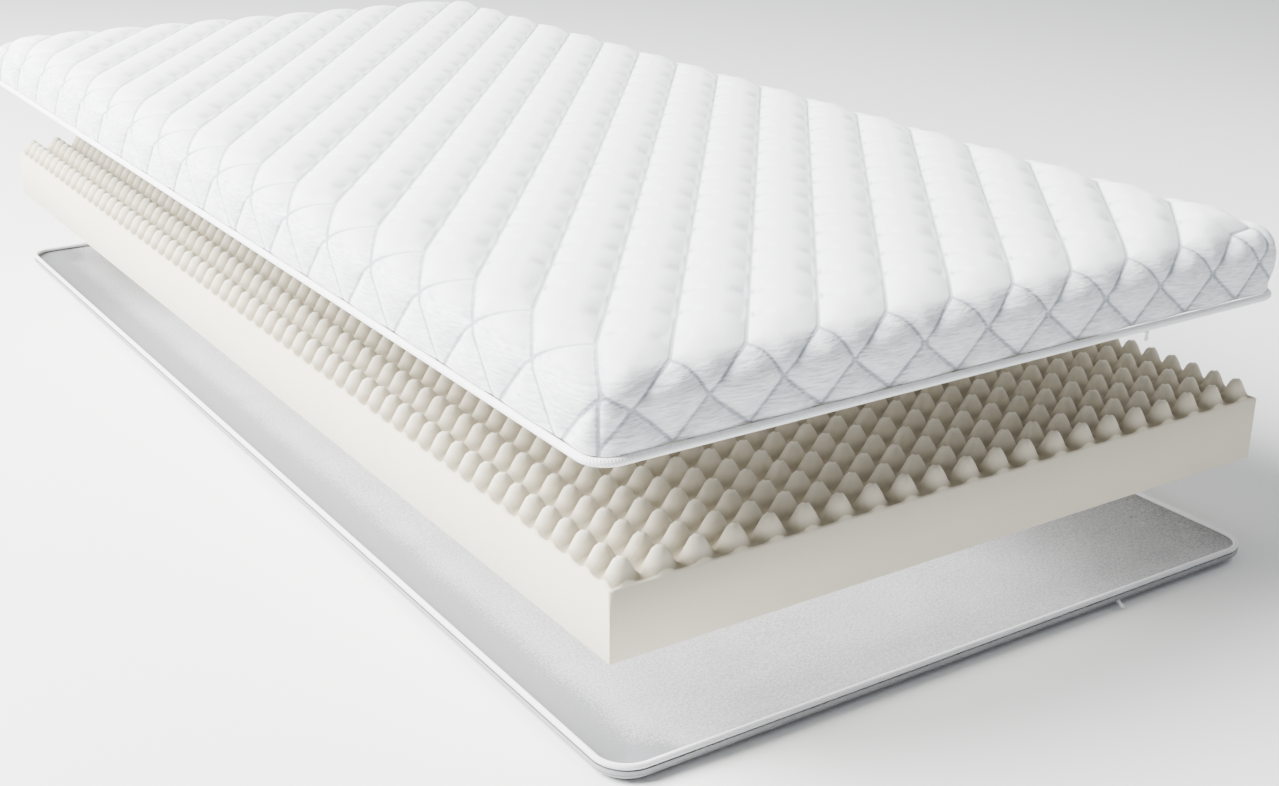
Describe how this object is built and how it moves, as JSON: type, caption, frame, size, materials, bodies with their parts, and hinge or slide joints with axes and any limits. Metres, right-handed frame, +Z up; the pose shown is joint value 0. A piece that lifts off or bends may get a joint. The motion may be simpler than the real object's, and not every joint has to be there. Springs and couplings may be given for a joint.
{
  "type": "mattress",
  "caption": "Single foam mattress shown opened: quilted cover with piping above, peaked foam core in the middle and a thin bottom cloth with a turned-up rim below.",
  "frame": {"origin": "centre of the whole object's box, on the surface that the bottom cloth lies on", "axes": "+Z up, X across the bed, Y along it; -Y is the short side with the two zip pulls"},
  "size_m": [0.934, 2.0472, 0.4185],
  "materials": {
    "quilt": "matt knitted cloth, quilted over padding",
    "piping": "matt woven cord",
    "foam": "matt cut foam",
    "cloth": "matt thin cloth",
    "pull": "moulded"
  },
  "bodies": {
    "root": {"foam_core": "foam", "quilted_cover": "quilt", "cover_piping": "piping", "cover_zip_pull": "pull", "bottom_cloth": "cloth", "cloth_piping": "piping", "cloth_zip_pull": "pull"}
  },
  "joints": []
}
